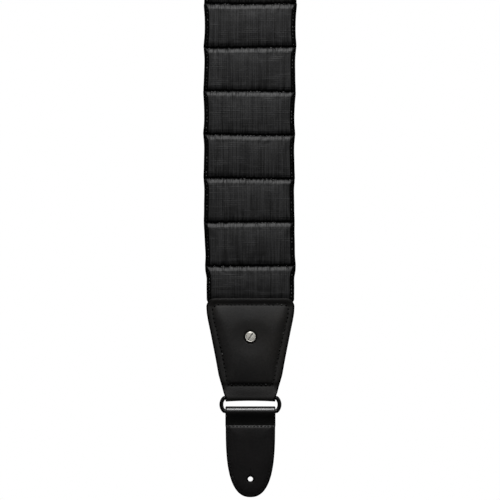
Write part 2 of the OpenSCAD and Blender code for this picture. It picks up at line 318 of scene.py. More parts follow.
def slab(name, outline, place, front, back, material, holes=(), spacing=1.3, edge=0.7, extra=(), painted_shadow=None):
    """A sheet of leather with rounded edges, cut to an outline.

    outline and holes are closed loops in the flat sheet's (u, v). front and back take (u, v, d), d being
    the distance to the nearest edge, and give the faces' heights. place turns (u, v, height) into points.
    The edges are painted black, but the paint is left off where they face up, painted light that lets those
    edges show as a lit rim, and an optional function of (u, v) adds painted shadow.
    """
    loops = [resample(loop, spacing) for loop in (outline, *holes)]
    insets = [edge * 0.1, edge * 0.4, edge]
    points = list(loops[0])
    constraints = []
    for k, loop in enumerate(loops):
        if k:
            points += list(loop)
        first = len(points) - len(loop)
        constraints += [(first + i, first + (i + 1) % len(loop)) for i in range(len(loop))]
    rim_count = len(points)
    for k, loop in enumerate(loops):
        for inset in insets:
            points += list(offset_loop(loop, inset if k == 0 else -inset))
    low, high = loops[0].min(0), loops[0].max(0)
    us = np.arange(low[0] + spacing / 2, high[0], spacing)
    vs = np.arange(low[1] + spacing / 2, high[1], spacing)
    grid = np.stack(np.meshgrid(us, vs), axis=-1).reshape(-1, 2)
    keep = inside(grid, loops[0])
    for k, loop in enumerate(loops):
        if k:
            keep &= ~inside(grid, loop)
        keep &= segment_distance(grid, loop) > edge + spacing * 0.5
    grid = grid[keep]
    extra = np.array(extra, float).reshape(-1, 2)
    if len(extra):
        near = np.linalg.norm(grid[:, None, :] - extra[None, :, :], axis=2).min(axis=1)
        grid = grid[near > spacing * 0.5]
    points = np.vstack([points, grid, extra])
    flat, _, triangles, _, _, _ = delaunay_2d_cdt([Vector(p) for p in points], constraints, [], 0, 1e-6)
    flat = np.array([tuple(p) for p in flat])
    triangles = np.array(triangles)
    centres = flat[triangles].mean(axis=1)
    keep = inside(centres, loops[0])
    for loop in loops[1:]:
        keep &= ~inside(centres, loop)
    triangles = triangles[keep]

    distance = np.min([segment_distance(flat, loop) for loop in loops], axis=0)
    distance[:rim_count] = 0
    u, v = flat[:, 0], flat[:, 1]
    top, bottom = front(u, v, distance), back(u, v, distance)
    middle = (top + bottom) / 2
    round_off = np.sqrt(np.clip(1 - (1 - np.clip(distance / edge, 0, 1)) ** 2, 0, 1))
    top_points = place(u, v, middle + (top - middle) * round_off)
    bottom_points = place(u, v, middle + (bottom - middle) * round_off)
    rim = distance < 1e-9
    number = np.where(rim, np.arange(len(flat)), len(flat) + np.cumsum(~rim) - 1)
    all_points = np.vstack([top_points, bottom_points[~rim]])
    faces = [tuple(t) for t in triangles.tolist()]
    faces += [tuple(t[::-1]) for t in number[triangles].tolist()]
    sheet = make_object(name, all_points, faces, material)
    upward = np.array([vertex.normal.z for vertex in sheet.data.vertices])
    # Black edge paint, left off where the edge faces up: painted light that lets those edges show as a lit
    # rim.
    near_edge = 1 - smoothstep(np.concatenate([distance, distance[~rim]]), edge, edge * 1.9)
    paint = near_edge * (1 - smoothstep(upward, 0.15, 0.5))
    # Painted shadow from the optional function, such as the dark ring round a screw head.
    if painted_shadow:
        dark = painted_shadow(u, v)
        paint = np.maximum(paint, np.concatenate([dark, dark[~rim]]))
    sheet.data.attributes.new("edge_paint_and_shadow", "FLOAT", "POINT").data.foreach_set("value", paint)
    return sheet


def stitch_row(name, path, out, pitch, length, radius, material, sink=0.25):
    """A row of sewn stitches along a path (N, 3) on a surface that faces out."""
    path = np.asarray(path, float)
    run = np.concatenate([[0], np.cumsum(np.linalg.norm(np.diff(path, axis=0), axis=1))])
    count = max(1, int(run[-1] / pitch))
    stations = np.linspace(-1, 1, 7)
    sides = 8
    rng = np.random.default_rng(count)
    turn = np.linspace(0, 2 * np.pi, sides, endpoint=False)
    points, faces = [], []
    for s in (np.arange(count) + 0.5) * run[-1] / count:
        def at(where):
            return np.array([np.interp(where, run, path[:, k]) for k in range(3)])
        centre = at(s)
        along = at(s + 0.3) - at(s - 0.3)
        along /= np.linalg.norm(along)
        normal = np.array(out, float)
        normal -= along * (normal @ along)
        normal /= np.linalg.norm(normal)
        side = np.cross(along, normal)
        first = len(points)
        long, askew, aside, thick = rng.uniform((0.7, -0.25, -0.2, 0.75), (1.2, 0.25, 0.2, 1.25))
        for t in stations:
            lift = radius * 0.7 * (1 - t * t) - sink * t * t
            girth = thick * radius * (0.55 + 0.45 * math.sqrt(max(0.0, 1 - t * t)))
            reach = t * long * length / 2
            middle = centre + along * reach + side * (reach * askew + aside) + normal * lift
            points += [middle + girth * (math.cos(a) * side + math.sin(a) * normal) for a in turn]
        faces += grid_faces(len(stations), sides, start=first, wrap=True)
        faces += end_faces(first, len(stations), sides)
    return make_object(name, points, faces, material)


# ---------------------------------------------------------------- materials

def set_inputs(tree, shader, inputs):
    """Gives each input a value, or links it to a socket."""
    for key, value in inputs.items():
        if isinstance(value, bpy.types.NodeSocket):
            tree.links.new(value, shader.inputs[key])
        else:
            shader.inputs[key].default_value = value


def node(tree, kind, inputs=None, **settings):
    """Adds a shader node."""
    made = tree.nodes.new("ShaderNode" + kind)
    for key, value in settings.items():
        setattr(made, key, value)
    set_inputs(tree, made, inputs or {})
    return made


def math_node(tree, operation, a, b=0.0, c=0.0):
    return node(tree, "Math", {0: a, 1: b, 2: c}, operation=operation).outputs[0]


def remap(tree, value, low=0.0, high=1.0, to_low=0.0, to_high=1.0):
    """Maps low..high to to_low..to_high and holds value at the ends."""
    return node(tree, "MapRange", {"Value": value, "From Min": low, "From Max": high,
                                   "To Min": to_low, "To Max": to_high}).outputs[0]


def scaled(tree, vector, factor):
    return node(tree, "VectorMath", {0: vector, "Scale": factor}, operation="SCALE").outputs[0]


def new_material(name):
    material = bpy.data.materials.new(name)
    material.use_nodes = True
    tree = material.node_tree
    shader = tree.nodes["Principled BSDF"]
    place = node(tree, "TexCoord").outputs["Object"]
    millimetres = node(tree, "Mapping", {"Vector": place, "Scale": (1000, 1000, 1000)}).outputs[0]
    return material, tree, shader, millimetres


def set_material(mesh, material):
    mesh.materials.clear()
    mesh.materials.append(material)


def colour_ramp(tree, factor, stops):
    ramp = node(tree, "ValToRGB", {"Fac": factor})
    elements = ramp.color_ramp.elements
    while len(elements) < len(stops):
        elements.new(0.5)
    for element, (position, colour) in zip(elements, stops):
        element.position = position
        element.color = (*colour, 1)
    return ramp.outputs["Color"]


def stretched_noise(tree, place, scale, detail=2.0):
    stretched = node(tree, "Mapping", {"Vector": place, "Scale": scale}).outputs[0]
    return node(tree, "TexNoise", {"Vector": stretched, "Scale": 1.0, "Detail": detail}).outputs["Fac"]


def leather_material(name, dark, light, warm, roughness, grain=0.35):
    """Finished leather: fine pebbled grain, cloudy colour and a soft sheen."""
    material, tree, shader, place = new_material(name)
    cloud = stretched_noise(tree, place, (0.02, 0.02, 0.02), 3)
    fine = stretched_noise(tree, place, (0.9, 0.9, 0.9), 4)
    cells = node(tree, "TexVoronoi", {"Vector": place, "Scale": 1.15}, feature="DISTANCE_TO_EDGE")
    crease = remap(tree, cells.outputs["Distance"], high=0.25)
    cloudy = colour_ramp(tree, cloud, [(0.3, dark), (0.55, light), (0.8, warm)])
    shade = remap(tree, fine, 0.3, 0.7, 0.82, 1.12)
    # Black edge paint, and painted shadow such as the ring round a screw head, from the sheet's attribute;
    # the sheen is turned down there too.
    painted = node(tree, "Attribute", attribute_name="edge_paint_and_shadow").outputs["Fac"]
    bare = math_node(tree, "SUBTRACT", 1.0, math_node(tree, "MULTIPLY", painted, 0.95))
    shade = math_node(tree, "MULTIPLY", shade, bare)
    colour = scaled(tree, cloudy, shade)
    rough = remap(tree, fine, 0.3, 0.7, roughness - 0.06, roughness + 0.08)
    height = math_node(tree, "MULTIPLY", crease, fine)
    bump = node(tree, "Bump", {"Height": height, "Strength": grain, "Distance": 0.00018}).outputs[0]
    set_inputs(tree, shader, {"Base Color": colour, "Roughness": rough, "Normal": bump,
                              "Specular IOR Level": math_node(tree, "MULTIPLY", bare, 0.4)})
    return material


def lacquer_material(name):
    """Smooth black coated leather with a wet gloss."""
    material, tree, shader, place = new_material(name)
    fine = stretched_noise(tree, place, (0.7, 0.7, 0.7), 3)
    colour = colour_ramp(tree, fine, [(0.3, (0.0035, 0.0035, 0.0035)), (0.7, (0.009, 0.009, 0.009))])
    bump = node(tree, "Bump", {"Height": fine, "Strength": 0.12, "Distance": 0.0001}).outputs[0]
    rough = remap(tree, fine, to_low=0.32, to_high=0.4)
    set_inputs(tree, shader, {"Base Color": colour, "Roughness": rough, "Normal": bump,
                              "Coat Weight": 1.0, "Coat Roughness": 0.2})
    return material


def odd_threads(tree, noise, strength):
    """Single threads that stand out: strength where the noise is high, minus strength where it is low."""
    pale = remap(tree, noise, 0.62, 0.72, 0.0, strength)
    dark = remap(tree, noise, 0.28, 0.38, strength, 0.0)
    return math_node(tree, "SUBTRACT", pale, dark)


def woven_material(name, dark, light, pitch, bump_mm, roughness, specular):
    """Basket weave of flat yarns, some of them slubbed for part of their length. Its colour is lighter on the
    yarns and darker in the grooves between them, painted sheen and painted shade, and some single threads are
    painted paler for part of their length as painted sheen.
    """
    material, tree, shader, place = new_material(name)
    wander = node(tree, "TexNoise", {"Vector": place, "Scale": 0.08, "Detail": 1.0}).outputs["Color"]
    drift = node(tree, "VectorMath", {0: wander, 1: (0.5, 0.5, 0.5)}, operation="SUBTRACT").outputs[0]
    shift = scaled(tree, drift, pitch * 0.8)
    woven = node(tree, "VectorMath", {0: place, 1: shift}, operation="ADD").outputs[0]
    axes = node(tree, "SeparateXYZ", {"Vector": woven}).outputs
    turns = math.pi / pitch
    across = math_node(tree, "SINE", math_node(tree, "MULTIPLY", axes["X"], turns))
    down = math_node(tree, "SINE", math_node(tree, "MULTIPLY", axes["Z"], turns))
    warp_ridge = math_node(tree, "POWER", math_node(tree, "ABSOLUTE", across), 0.7)
    weft_ridge = math_node(tree, "POWER", math_node(tree, "ABSOLUTE", down), 0.7)
    warp_patch = remap(tree, stretched_noise(tree, place, (0.35, 0.1, 0.05), 1), 0.45, 0.62)
    weft_patch = remap(tree, stretched_noise(tree, place, (0.06, 0.1, 0.22), 1), 0.52, 0.68)
    warp_slub = stretched_noise(tree, place, (0.6, 0.2, 0.035), 2)
    weft_slub = stretched_noise(tree, place, (0.035, 0.2, 0.6), 2)
    warp = math_node(tree, "MULTIPLY", warp_ridge, math_node(tree, "MULTIPLY_ADD", warp_patch, 0.45, 0.16))
    weft = math_node(tree, "MULTIPLY", weft_ridge, math_node(tree, "MULTIPLY_ADD", weft_patch, 0.4, 0.12))
    slubs = math_node(tree, "ADD", math_node(tree, "MULTIPLY", warp_slub, 0.35),
                      math_node(tree, "MULTIPLY", weft_slub, 0.4))
    # Single threads painted paler as sheen, and some darker.
    warp_line = stretched_noise(tree, place, (1.15, 0.2, 0.02), 0)
    weft_line = stretched_noise(tree, place, (0.02, 0.2, 1.15), 0)
    lines = math_node(tree, "ADD", odd_threads(tree, warp_line, 0.55),
                      math_node(tree, "MULTIPLY", odd_threads(tree, weft_line, 0.45), weft_patch))
    # Yarn crowns lighter and the grooves between yarns darker in colour: painted sheen and painted shade.
    ridges = math_node(tree, "MULTIPLY", math_node(tree, "ADD", warp, weft), 0.75)
    mixed = math_node(tree, "ADD", math_node(tree, "ADD", slubs, ridges), lines)
    spread = remap(tree, mixed, 0.3, 0.95)
    colour = colour_ramp(tree, spread, [(0.0, dark), (1.0, light)])
    over = math_node(tree, "MULTIPLY", across, down)
    side = remap(tree, over, -0.2, 0.2, 0.8, 1.0)
    height = math_node(tree, "MULTIPLY", math_node(tree, "ADD", warp, weft), side)
    bump = node(tree, "Bump", {"Height": height, "Strength": 0.8, "Distance": bump_mm * MM}).outputs[0]
    set_inputs(tree, shader, {"Base Color": colour, "Roughness": roughness, "Normal": bump,
                              "Specular IOR Level": specular})
    return material


def ribbed_material(name, dark, light, rib, roughness, specular=0.35):
    """Narrow woven tape that runs along Z: ribs across it and a twill of fine threads."""
    material, tree, shader, place = new_material(name)
    axes = node(tree, "SeparateXYZ", {"Vector": place}).outputs
    slant = math_node(tree, "MULTIPLY", axes["X"], 0.35)
    phase = math_node(tree, "ADD", axes["Z"], slant)
    wave = math_node(tree, "SINE", math_node(tree, "MULTIPLY", phase, 2 * math.pi / rib))
    fine = stretched_noise(tree, place, (0.9, 0.9, 0.9), 3)
    ridge = remap(tree, wave, -1.0)
    mixed = math_node(tree, "ADD", math_node(tree, "MULTIPLY", ridge, 0.45),
                      math_node(tree, "MULTIPLY", fine, 0.55))
    # The colour follows the ribs and the bumps, darker where the surface is lower: painted shade in the
    # grooves.
    colour = colour_ramp(tree, mixed, [(0.25, dark), (0.8, light)])
    bump = node(tree, "Bump", {"Height": mixed, "Strength": 0.6, "Distance": 0.00025}).outputs[0]
    set_inputs(tree, shader, {"Base Color": colour, "Roughness": roughness, "Normal": bump,
                              "Specular IOR Level": specular})
    return material


def metal_material(name, dark, light, metallic, roughness, scratch=0.2):
    material, tree, shader, place = new_material(name)
    fine = stretched_noise(tree, place, (0.5, 3.0, 1.5), 4)
    clean = colour_ramp(tree, fine, [(0.3, dark), (0.7, light)])
    # Per-point painted shade, set only on the slotted screws, darkens the colour.
    painted_shade = node(tree, "Attribute", attribute_name="painted_shade").outputs["Fac"]
    kept = math_node(tree, "SUBTRACT", 1.0, painted_shade)
    colour = scaled(tree, clean, kept)
    rough = remap(tree, fine, to_low=roughness - 0.06, to_high=roughness + 0.1)
    bump = node(tree, "Bump", {"Height": fine, "Strength": scratch, "Distance": 0.00005}).outputs[0]
    set_inputs(tree, shader, {"Base Color": colour, "Metallic": metallic, "Roughness": rough,
                              "Normal": bump})
    return material


def thread_material(name, dark, light, threshold, specular=0.3):
    """Twisted thread, dark but for lighter places painted into its colour as glints (painted highlights)."""
    material, tree, shader, place = new_material(name)
    painted_glints = stretched_noise(tree, place, (0.23, 0.23, 0.23), 1)
    twist = node(tree, "TexWave", {"Vector": place, "Scale": 0.9, "Distortion": 1.0}).outputs["Fac"]
    colour = colour_ramp(tree, painted_glints, [(threshold, dark), (threshold + 0.08, light)])
    bump = node(tree, "Bump", {"Height": twist, "Strength": 0.4, "Distance": 0.0002}).outputs[0]
    set_inputs(tree, shader, {"Base Color": colour, "Roughness": 0.5, "Normal": bump,
                              "Specular IOR Level": specular})
    return material


def grey(value):
    return (value, value, value)


LEATHER = leather_material("strap_leather", (0.0165, 0.0162, 0.0165), (0.024, 0.023, 0.0225),
                           (0.029, 0.0265, 0.0235), 0.44)
TAB_LEATHER = leather_material("tab_leather", (0.005, 0.0046, 0.0048), (0.008, 0.0068, 0.0072),
                               (0.011, 0.0088, 0.0094), 0.46)
BACK_LEATHER = leather_material("back_leather", (0.022, 0.021, 0.02), (0.03, 0.028, 0.026),
                                (0.035, 0.032, 0.029), 0.62, 0.5)
LACQUER = lacquer_material("lacquered_leather")
BOARD = leather_material("stiffener_board", (0.06, 0.045, 0.03), (0.08, 0.06, 0.04),
                         (0.09, 0.07, 0.05), 0.8)
WOVEN = woven_material("woven_nylon", (0.006, 0.006, 0.0063), (0.035, 0.035, 0.036), 1.9, 0.22, 0.5, 0.46)
LINING = woven_material("lining_cloth", grey(0.014), grey(0.026), 0.8, 0.12, 0.9, 0.3)
FOAM = leather_material("foam", grey(0.1), grey(0.13), grey(0.15), 0.9)
BINDING = ribbed_material("binding_tape", grey(0.001), grey(0.0035), 1.4, 0.8, 0.08)
WEBBING = ribbed_material("webbing", grey(0.008), grey(0.024), 1.6, 0.6)
THREAD = thread_material("thread", grey(0.001), grey(0.1), 0.62)
BLACK_THREAD = thread_material("thread_black", grey(0.001), grey(0.04), 0.86, 0.08)
PALE_THREAD = thread_material("thread_grey", grey(0.012), grey(0.16), 0.5)
ENAMEL = metal_material("black_enamel", grey(0.004), grey(0.008), 0.0, 0.22, 0.1)
NICKEL = metal_material("nickel", (0.7, 0.68, 0.62), (0.8, 0.78, 0.72), 1.0, 0.28, 0.1)
STEEL = metal_material("steel_pin", grey(0.3), grey(0.45), 1.0, 0.35)
PLASTIC = leather_material("slider_plastic", grey(0.012), grey(0.018), grey(0.022), 0.42, 0.2)


# ---------------------------------------------------------------- pad

EDGE_HALF = 1.1         # half the pad's thickness at its bound side edges
SEAM_HALF = 0.8         # half its thickness at a seam
CREASE = 2.8            # how deep the stitching pulls the front in beside it
FRONT_H = PAD_HALF_T + 0.5
BACK_H = PAD_HALF_T * 0.72
TAPE_W = 4.1
CLOTH_SCALE = 0.01      # metres in the cloth simulation for a millimetre of pad
CLOTH_PRESSURE = 0.12
CLOTH_FRAMES = 10
CLOTH_REACH = 1.2       # the furthest that a point may move, a guard
LAST = len(CHANNELS) - 1


def seam_wander(k, s):
    """How far seam k strays along Z at s, -1 to 1 across the pad."""
    if k in (0, LAST + 1):
        return np.zeros_like(s)
    rng = np.random.default_rng(100 + k)
    tilt, bow, wave, phase = rng.uniform(-1, 1, 4)
    ragged = sum(rng.uniform(0.05, 0.16) * np.sin(s * rng.uniform(22, 75) + rng.uniform(0, 6))
                 for _ in range(7))
    return 0.7 * tilt * s + 0.5 * bow * (s * s - 0.4) + 0.25 * np.sin(4.5 * s + 3 * phase) * wave + ragged


def from_pad_end(k, t):
    """Distance from the pad's top or bottom end, and 1000 in the channels between the first and last."""
    return {0: t * PITCH, LAST: (1 - t) * PITCH}.get(k, np.full_like(t, 1000.0))


def pad_half_width(k, t):
    """Half width down channel k, t from 0 at its top seam to 1 at its bottom one."""
    to_seam = np.minimum(t, 1 - t) * PITCH
    narrowed = 0.8 * smoothstep((k + t) * PITCH, 370, 620)
    width = PAD_HALF_W - 1.05 - narrowed + 0.65 * np.exp(-(to_seam / 7.5) ** 2)
    rng = np.random.default_rng(300 + k)
    width = width + 0.2 * np.sin(2 * np.pi * t + rng.uniform(0, 6))
    to_end = from_pad_end(k, t)
    return width - 1.1 * (1 - smoothstep(to_end, 28, 38)) - 3.0 * (1 - smoothstep(to_end, 3, 10))


def sway(z):
    """How far the hanging pad strays sideways at height z."""
    down = PAD_TOP - z
    return -1.2 * smoothstep(down, 350, 510) * (1 - smoothstep(down, 575, 625))


def puckers(x, to_seam, seed):
    """Creases that run from a sewn seam into the fabric, at x across it and to_seam away from it."""
    rng = np.random.default_rng(seed)
    total = np.zeros_like(x)
    place = -PAD_HALF_W + 2
    while place < PAD_HALF_W - 2:
        place += rng.uniform(1.4, 4.4)
        depth, width = rng.uniform(0.2, 1.5), rng.uniform(0.4, 1.5)
        reach, slant = rng.uniform(1.2, 5.5), rng.uniform(-0.3, 0.3)
        total -= depth * np.exp(-((x - place - slant * to_seam) / width) ** 2 - to_seam / reach)
    return total


def bevel(distance, reach, bend):
    """0 at distance 0, rising to 1 at reach. A bend near 1 gives a flat bevel with a crisp top edge."""
    return 1 - (1 - np.clip(distance / reach, 0, 1)) ** bend


def smooth_min(a, b, softness):
    h = np.clip(0.5 + 0.5 * (b - a) / softness, 0, 1)
    return b + (a - b) * h - softness * h * (1 - h)


def pad_height(k, x, s, t, side):
    """Half thickness of channel k at x across it and t down it. side is -1 in front, 1 behind."""
    half_w = pad_half_width(k, t)
    to_top, to_bottom = t * PITCH, (1 - t) * PITCH
    to_edge = (1 - np.abs(s)) * half_w
    flat_run = PITCH / 2
    top = bevel(to_top, flat_run, 2.0) if k == 0 else bevel(to_top, 5.2, 1.25)
    bottom = bevel(to_bottom, flat_run, 2.0) if k == LAST else bevel(to_bottom, 6.5, 2.0)
    edge = bevel(to_edge, 4.3, 1.3)
    roof = smooth_min(smooth_min(top, bottom, 0.12), edge, 0.1)
    dome = (1 - np.abs(2 * t - 1) ** 2.2) * (1 - np.abs(s) ** 4)
    base = SEAM_HALF + (EDGE_HALF - SEAM_HALF) * (1 - smoothstep(to_edge, 1.5, 4))
    full, crease = (FRONT_H, CREASE) if side < 0 else (BACK_H, 0.3)
    to_seam = np.minimum(to_top if k else flat_run, to_bottom if k < LAST else flat_run)
    to_end = from_pad_end(k, t)
    crease_here = crease * (1 - np.exp(-(to_seam / 0.7) ** 2)) * smoothstep(to_end, 4, 16)
    base = base + crease_here * smoothstep(to_edge, 0.5, 3.5)
    height = base + (full - crease - SEAM_HALF) * (0.82 * roof + 0.18 * dome * np.sqrt(roof.clip(0, 1)))
    inner = smoothstep(to_edge, 0.8, 3.0)
    in_yoke = 1 - smoothstep(to_end, 8, 14)
    fabric = puckers(x, to_top, 1000 + 10 * k + side) + 0.7 * puckers(x, to_bottom, 2000 + 10 * k + side)
    soft = ripples(np.stack([x, t * PITCH], axis=-1), (12, 30), 9, 50 + 3 * k + side)
    height = height + inner * (1 - 0.9 * in_yoke) * (fabric + 0.16 * soft * roof)
    return np.maximum(height, 0.4)


def pad_columns():
    """s across the pad, closer together at the sides."""
    even = np.linspace(-1, 1, 121)
    return np.sign(even) * (1 - (1 - np.abs(even)) ** 1.25)


def pad_rows():
    """t down a channel, closer together at its seams."""
    even = np.linspace(0, 1, 47)
    return even - 0.11 * np.sin(2 * np.pi * even)


def channel_z(k, s, t):
    top = PAD_TOP - k * PITCH + seam_wander(k, s)
    bottom = PAD_TOP - (k + 1) * PITCH + seam_wander(k + 1, s)
    return top + (bottom - top) * t


def on_pad(k, s, t, side, lift=0.0):
    """Points on the pad's face at s across channel k and t down it, or lift above the face."""
    x = s * pad_half_width(k, t)
    z = channel_z(k, s, t)
    y = CHAIN_Y + side * (pad_height(k, x, s, t, side) + lift)
    return np.stack([x + sway(z), y, z], axis=-1)


def billow(sheet, held):
    """Lets a grid of points (rows, columns, 3) swell over its filling, as cloth held where held is true."""
    rows, columns = sheet.shape[:2]
    mesh = bpy.data.meshes.new("billow")
    faces = [f[::-1] for f in grid_faces(rows, columns)]
    mesh.from_pydata((sheet.reshape(-1, 3) * CLOTH_SCALE).tolist(), [], faces)
    cloth = bpy.data.objects.new("billow", mesh)
    SCENE.collection.objects.link(cloth)
    pinned = cloth.vertex_groups.new(name="pinned")
    pinned.add([int(i) for i in np.flatnonzero(held.reshape(-1))], 1.0, "REPLACE")
    modifier = cloth.modifiers.new("cloth", "CLOTH")
    settings = modifier.settings
    settings.quality = 4
    settings.mass = 0.03
    settings.bending_stiffness = 0.05
    settings.vertex_group_mass = "pinned"
    settings.use_pressure = True
    settings.uniform_pressure_force = CLOTH_PRESSURE
    settings.effector_weights.gravity = 0
    modifier.collision_settings.use_collision = False
    modifier.point_cache.frame_end = CLOTH_FRAMES
    for number in range(1, CLOTH_FRAMES + 1):
        SCENE.frame_set(number)
    settled = cloth.evaluated_get(bpy.context.evaluated_depsgraph_get()).data
    moved = np.empty(rows * columns * 3)
    settled.vertices.foreach_get("co", moved)
    shift = moved.reshape(rows, columns, 3) / CLOTH_SCALE - sheet
    bpy.data.objects.remove(cloth)
    bpy.data.meshes.remove(mesh)
    SCENE.frame_set(1)
    reach = np.linalg.norm(shift, axis=-1, keepdims=True)
    return sheet + shift * np.minimum(1, CLOTH_REACH / np.maximum(reach, 1e-6))


def make_channel(k, body):
    """One stuffed channel of the pad: woven face, lining and the fabric between."""
    columns, rows = pad_columns(), pad_rows()
    s, t = np.meshgrid(columns, rows)
    layers = [on_pad(k, s, t, side) for side in (-1, 1)]
    sewn = (t == 0) | (t == 1) | ((1 - np.abs(s)) * PAD_HALF_W < TAPE_W)
    layers[0] = billow(layers[0], sewn | (from_pad_end(k, t) < 13))
    n_rows, n_columns = len(rows), len(columns)
    count = n_rows * n_columns
    points = np.concatenate([layer.reshape(-1, 3) for layer in layers])
    faces = grid_faces(n_rows, n_columns) + grid_faces(n_rows, n_columns, start=count)
    rim = ([(0, c) for c in range(n_columns)]
           + [(r, n_columns - 1) for r in range(1, n_rows)]
           + [(n_rows - 1, c) for c in range(n_columns - 2, -1, -1)]
           + [(r, 0) for r in range(n_rows - 2, 0, -1)])
    numbers = [r * n_columns + c for r, c in rim]
    faces += [(a, b, b + count, a + count) for a, b in zip(numbers, numbers[1:] + numbers[:1])]
    piece = make_object(f"pad_channel_{k + 1:02d}", points, faces, WOVEN)
    piece.data.materials.append(LINING)
    for polygon in piece.data.polygons:
        if polygon.center.y / MM > CHAIN_Y + 0.2:
            polygon.material_index = 1
    place_piece(piece, body, "cover_fabric", f"channel_cover_{k + 1:02d}", f"channel_foam_{k + 1:02d}")


def tape_width(k, t, side):
    """Width of the edge tape. In front it is mitred into the top corner of each channel."""
    to_top = t * PITCH
    if side > 0 or k == 0:
        return np.full_like(t, TAPE_W + 0.6)
    return np.minimum(TAPE_W, 0.7 + 0.62 * to_top)


def make_binding(k, body):
    """The tape folded over both side edges of one channel."""
    rows = np.linspace(0, 1, 42)
    half_w = pad_half_width(k, rows)
    across = np.linspace(1, 0, 6)
    rng = np.random.default_rng(700 + k)
    phase = rng.uniform(0, 6, 2)
    wobble = 0.1 * np.sin(rows * 19 + phase[0]) + 0.08 * np.sin(rows * 43 + phase[1])
    points, faces = [], []
    for x_side in (-1, 1):
        flaps = {}
        for side in (-1, 1):
            width = tape_width(k, rows, side)
            for layer, lift in (("outer", 0.5), ("inner", 0.04)):
                line = []
                for part in across:
                    s = x_side * (1 - (0.15 + (width - 0.15) * part) / half_w)
                    rim = 0.75 if part == 1 else 1.0
                    waves = wobble if layer == "outer" else 0
                    line.append(on_pad(k, s, rows, side, lift * rim + waves * (1 - part)))
                flaps[side, layer] = line
        nose = []
        for y in (-0.75, 0.0, 0.75):
            z = channel_z(k, np.full_like(rows, float(x_side)), rows)
            edge = x_side * (half_w + 0.5 * math.cos(y)) + sway(z)
            nose.append(np.stack([edge, CHAIN_Y + y * (EDGE_HALF + 0.1) + 0 * rows, z], axis=-1))
        profile = (flaps[-1, "outer"] + nose + flaps[1, "outer"][::-1]
                   + flaps[1, "inner"] + flaps[-1, "inner"][::-1])
        sides = len(profile)
        first = len(points)
        points += list(np.stack(profile, axis=1).reshape(-1, 3))
        faces += grid_faces(len(rows), sides, start=first, wrap=True)
        faces += end_faces(first, len(rows), sides)
    piece = make_object(f"edge_binding_{k + 1:02d}", points, faces, BINDING)
    place_piece(piece, body, "cover_fabric")


def make_pad_stitches(k, body):
    """Lockstitches just below the channel's top seam, and down both tapes."""
    parts = []
    if k > 0:
        s = np.linspace(-0.93, 0.93, 140)
        t = np.full_like(s, 1.0 / PITCH)
        for side in (-1, 1):
            path = on_pad(k, s, t, side, 0.02)
            parts.append(stitch_row(f"seam_row_{k}_{side}", path, (0, side, 0.9), 3.3, 2.0, 0.36,
                                    PALE_THREAD))
    t = np.linspace(0.1, 0.98, 60)
    edge = pad_half_width(k, t)
    for x_side in (-1, 1):
        for side, inset in ((-1, 2.4), (1, 2.6)):
            path = on_pad(k, x_side * (1 - inset / edge), t, side, 0.5)
            out = (0.5 * x_side if side < 0 else 0, side, 0)
            parts.append(stitch_row(f"tape_row_{k}_{x_side}_{side}", path, out, 3.2, 2.1, 0.28, BLACK_THREAD))
    place_piece(join(parts, f"pad_stitches_{k + 1:02d}"), body, "cover_fabric")


def join(parts, name):
    """Several mesh objects made into one."""
    first = parts[0]
    merged = bmesh.new()
    for part in parts:
        merged.from_mesh(part.data)
    merged.to_mesh(first.data)
    merged.free()
    for part in parts[1:]:
        bpy.data.objects.remove(part)
    first.name = name
    first.data.name = name
    return first


def pad_body(k):
    if k == 0:
        return "upper_yoke"
    if k == LAST:
        return "lower_yoke"
    return f"channel_{k + 1:02d}"


for channel in range(len(CHANNELS)):
    make_channel(channel, pad_body(channel))
    make_binding(channel, pad_body(channel))
    make_pad_stitches(channel, pad_body(channel))


# ---------------------------------------------------------------- yokes

YOKE_LEN = 94.5
YOKE_T = 1.8
CORE_HALF = 1.5
FOLD_T = 1.4
FOLD_R = WIRE_R + CLEAR + FOLD_T / 2
FOLD_HALF = 23.7
RIVET_H = 58.0
RIVET_R = 5.4
PADDING_T = 2.4
STITCH_LOW = 12.6       # heights of the yoke's lowest and highest stitches above the bar
STITCH_HIGH = 88.7
FRONT_SWELL = 3.4
BACK_SWELL = 0.7
SCREW_HEAD_T = 1.6
POST_HEAD_T = 1.2
SCREW_ANGLE = 57        # how far the screw slots are turned, in degrees


def yoke_outline(start):
    """The yoke's outline from height start to its top edge, as (u, v) points."""
    if start < 0:
        right = arc_points((FOLD_HALF - 3.4, start + 3), 3, -90, 0, 5)
        right += [(FOLD_HALF - 0.2, start + 9), (FOLD_HALF, 0.0)]
    else:
        right = [(24.1 + start * 0.287, start)]
    right += [point for point in [(25.5, 4.7), (27.0, 10.4), (28.7, 16.1), (30.3, 21.8), (33.4, 38.9),
                                  (37.9, 61.7), (40.3, 73.1), (41.5, 80.0)] if point[1] > start + 1]
    right += arc_points((33.9, YOKE_LEN - 8), 8, 0, 90, 9)
    return mirrored(right)


def stitch_loop():
    """The stitched perimeter inside the yoke's edge."""
    right = [(20.3, STITCH_LOW), (22.4, 17.0), (23.6, 26.0), (27.5, 45.0), (31.8, 63.0), (34.9, 76.0)]
    right += arc_points((31.3, 84.1), 4.6, 0, 90, 6)
    return np.array(mirrored(right))


STITCH_LOOP = stitch_loop()


